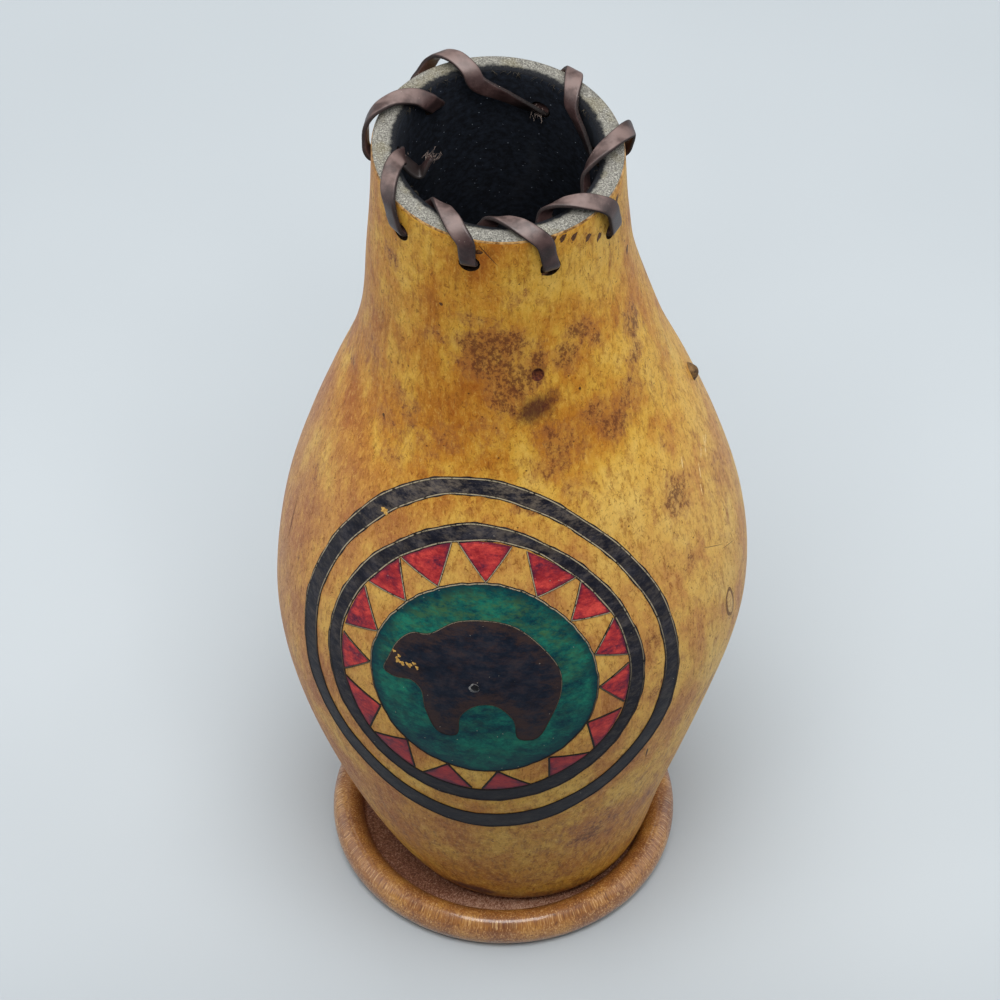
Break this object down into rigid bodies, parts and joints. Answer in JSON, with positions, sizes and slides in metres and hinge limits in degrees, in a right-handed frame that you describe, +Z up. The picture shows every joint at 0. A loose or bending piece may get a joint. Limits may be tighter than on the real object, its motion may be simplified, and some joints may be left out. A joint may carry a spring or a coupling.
{
  "type": "painted gourd vase",
  "caption": "Tall dried gourd vase glued into a round turned saucer, with a leather lace whipped round the cut rim and a painted sun-ray medallion with a walking bear.",
  "frame": {"origin": "centre of the saucer's flat underside", "axes": "+Z up the vase, -Y out of the painted front, +X to the viewer's right"},
  "size_m": [0.1175, 0.1181, 0.262],
  "materials": {
    "saucer_wood": "stained and waxed, fine grained",
    "glue": "dried craft glue",
    "gourd_rind": "dried gourd rind, mottled, lightly varnished",
    "lace_leather": "flat brown lace with a satin face and rough dark edges",
    "black_paint": "thin coat of acrylic paint, satin",
    "red_paint": "thin coat of acrylic paint, satin",
    "green_paint": "thin coat of acrylic paint, satin",
    "bear_paint": "thin coat of acrylic paint, satin"
  },
  "bodies": {
    "root": {"turned_saucer": "saucer_wood", "glue_bed": "glue", "gourd_shell": "gourd_rind", "rim_lace": "lace_leather", "outer_ring_paint": "black_paint", "inner_ring_paint": "black_paint", "ray_paint_01": "red_paint", "ray_paint_02": "red_paint", "ray_paint_03": "red_paint", "ray_paint_04": "red_paint", "ray_paint_05": "red_paint", "ray_paint_06": "red_paint", "ray_paint_07": "red_paint", "ray_paint_08": "red_paint", "ray_paint_09": "red_paint", "ray_paint_10": "red_paint", "ray_paint_11": "red_paint", "ray_paint_12": "red_paint", "ray_paint_13": "red_paint", "ray_paint_14": "red_paint", "ray_paint_15": "red_paint", "disc_paint": "green_paint", "bear_paint": "bear_paint"}
  },
  "joints": []
}
